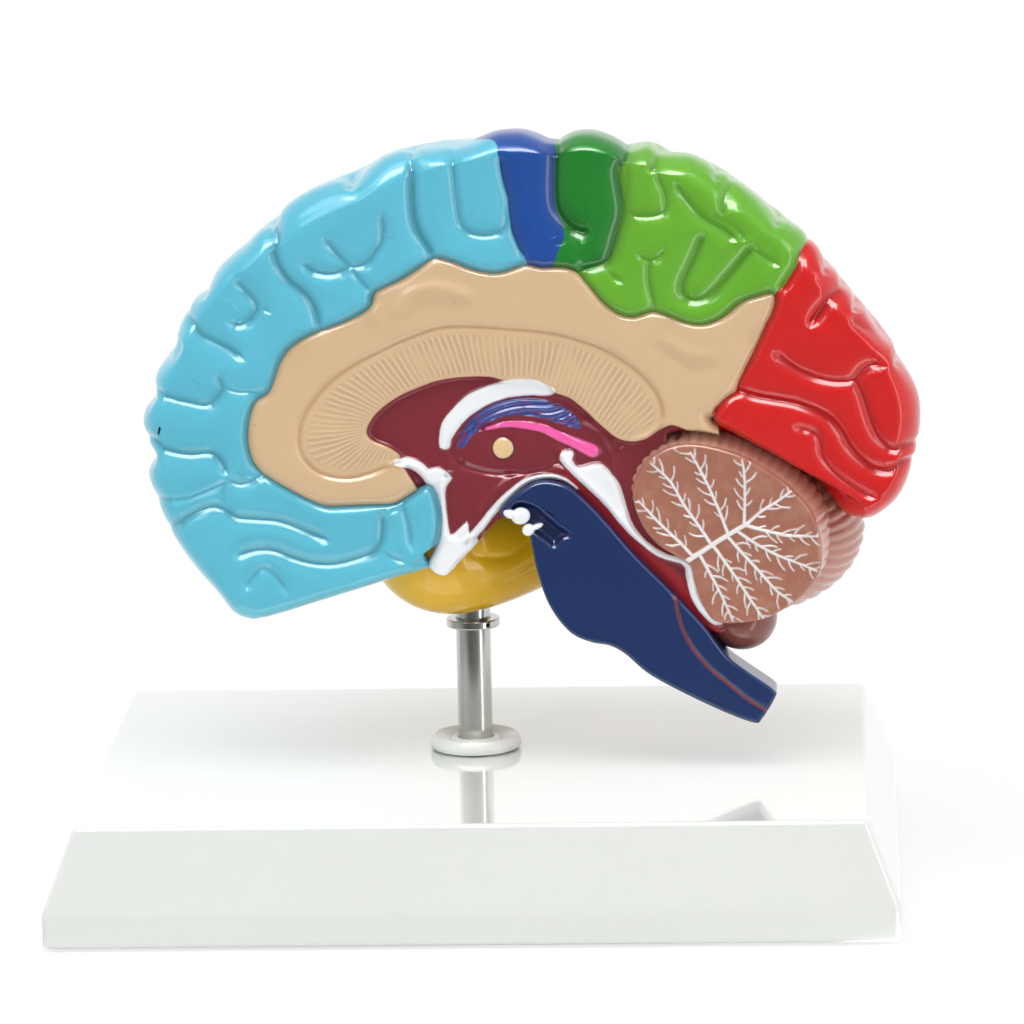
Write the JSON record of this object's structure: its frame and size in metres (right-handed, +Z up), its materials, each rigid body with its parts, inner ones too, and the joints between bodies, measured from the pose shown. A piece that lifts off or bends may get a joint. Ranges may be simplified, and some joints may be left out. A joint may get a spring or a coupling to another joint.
{
  "type": "brain anatomy model",
  "caption": "Half of a human brain in painted plastic, cut face forward, turning on a steel rod that stands on a white tray-shaped base.",
  "frame": {"origin": "on the table, under the middle of the whole model", "axes": "+Z up, +X to the right along the base's long side, the brain's cut face looks along -Y"},
  "size_m": [0.1711, 0.127, 0.1503],
  "materials": {
    "painted_pvc": "glossy hand-painted vinyl",
    "white_plastic": "glossy moulded plastic",
    "satin_steel": "satin",
    "zinc_steel": "zinc plated",
    "natural_nylon": "satin",
    "black_rubber": "matt"
  },
  "bodies": {
    "stand": {"base_tray": "white_plastic", "post": "satin_steel", "collar": "satin_steel", "rosette": "white_plastic", "post_screw": "zinc_steel", "screw_washer": "zinc_steel", "foot_pad_1": "black_rubber", "foot_pad_2": "black_rubber", "foot_pad_3": "black_rubber", "foot_pad_4": "black_rubber"},
    "brain": {"brain_casting": "painted_pvc", "socket_bush": "natural_nylon"}
  },
  "joints": [
    {"name": "brain_swivel", "type": "hinge", "parent": "stand", "child": "brain", "pos_m": [-0.0046, 0.0046, 0.0504], "axis": [0, 0, 1], "continuous": true}
  ]
}
